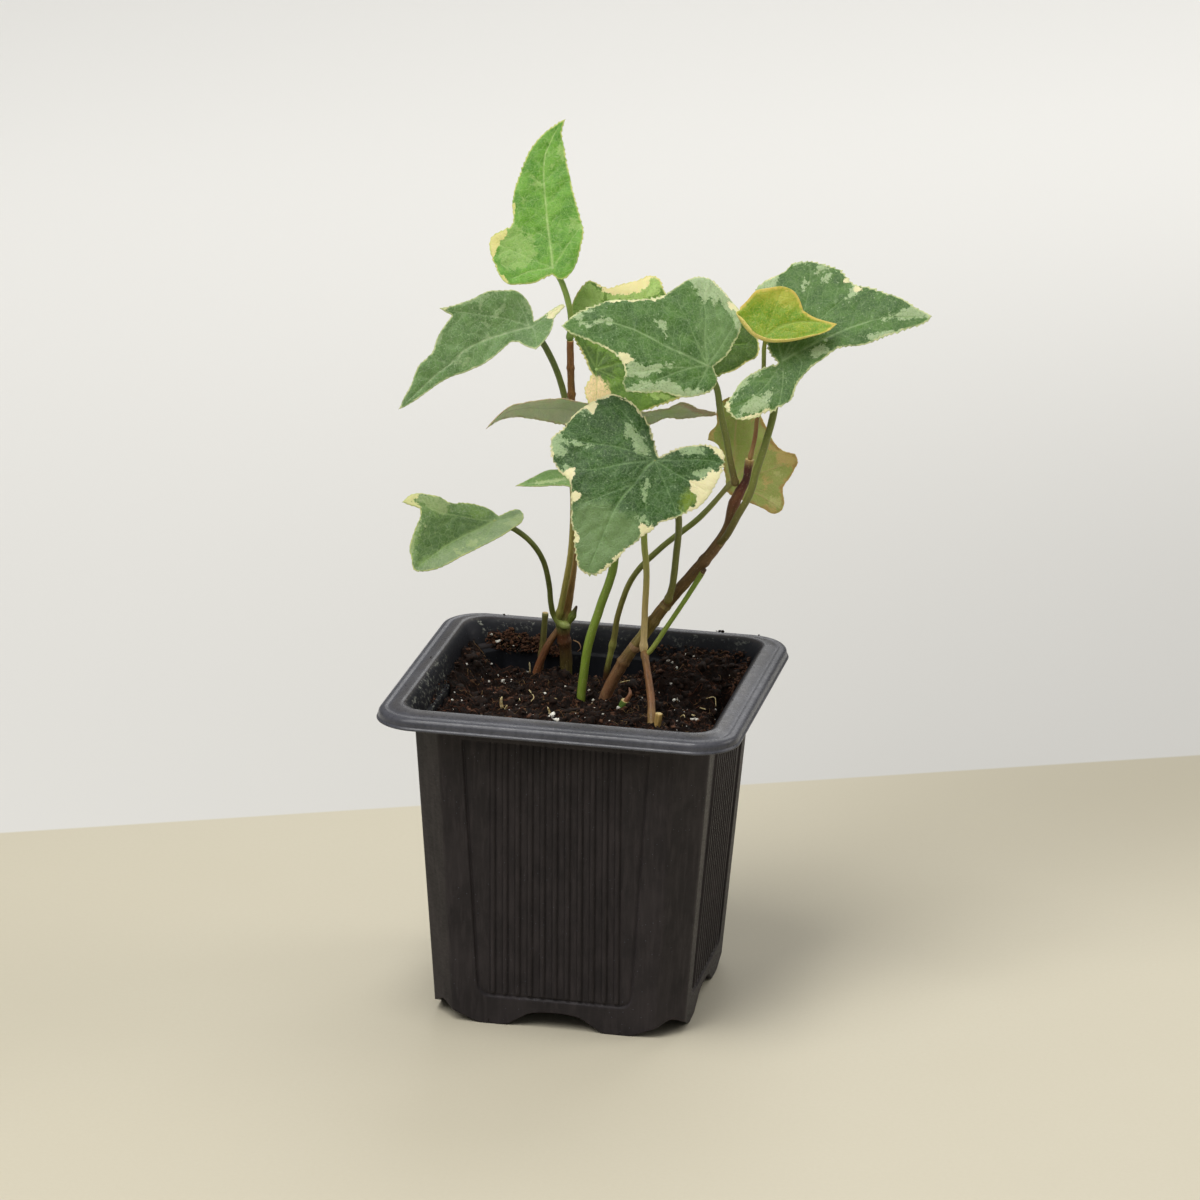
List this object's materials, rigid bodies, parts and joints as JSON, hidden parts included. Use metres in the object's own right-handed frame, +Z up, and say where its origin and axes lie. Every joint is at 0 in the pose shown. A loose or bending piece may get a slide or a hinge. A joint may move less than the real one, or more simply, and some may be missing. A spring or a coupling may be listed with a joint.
{
  "type": "potted ivy",
  "caption": "Young variegated ivy with lobed leaves on slender stems, growing in a small square ribbed nursery pot of soil.",
  "frame": {"origin": "middle of the plant and pot's bounding box, on the ground under the pot's feet", "axes": "+Z up, -Y towards the front of the plant, +X to its right as seen from the front"},
  "size_m": [0.1288, 0.0896, 0.213],
  "materials": {
    "pot_plastic": "satin charcoal, slate grey rim",
    "peat_mix": "fibrous dark brown",
    "woody_stem": "olive brown bark",
    "green_stem": "green, soft",
    "leaf_top": "waxy leaf, satin",
    "leaf_left": "waxy leaf, satin",
    "leaf_centre": "waxy leaf, satin",
    "leaf_right": "waxy leaf, satin",
    "leaf_lower_left": "waxy leaf, satin",
    "leaf_front": "waxy leaf, satin",
    "leaf_back": "waxy leaf, satin",
    "leaf_young": "waxy leaf, satin",
    "leaf_edge_on": "waxy leaf, satin",
    "leaf_back_right": "waxy leaf, satin",
    "leaf_small": "waxy leaf, satin"
  },
  "bodies": {
    "root": {"pot": "pot_plastic", "soil": "peat_mix", "left_stem": "woody_stem", "left_stub": "woody_stem", "right_stem": "woody_stem", "front_stem": "woody_stem", "cut_petiole": "green_stem", "soil_stump": "green_stem", "leaf_top": "leaf_top", "leaf_left": "leaf_left", "leaf_centre": "leaf_centre", "leaf_right": "leaf_right", "leaf_lower_left": "leaf_lower_left", "leaf_front": "leaf_front", "leaf_back": "leaf_back", "leaf_young": "leaf_young", "leaf_edge_on": "leaf_edge_on", "leaf_back_right": "leaf_back_right", "leaf_small": "leaf_small"}
  },
  "joints": []
}
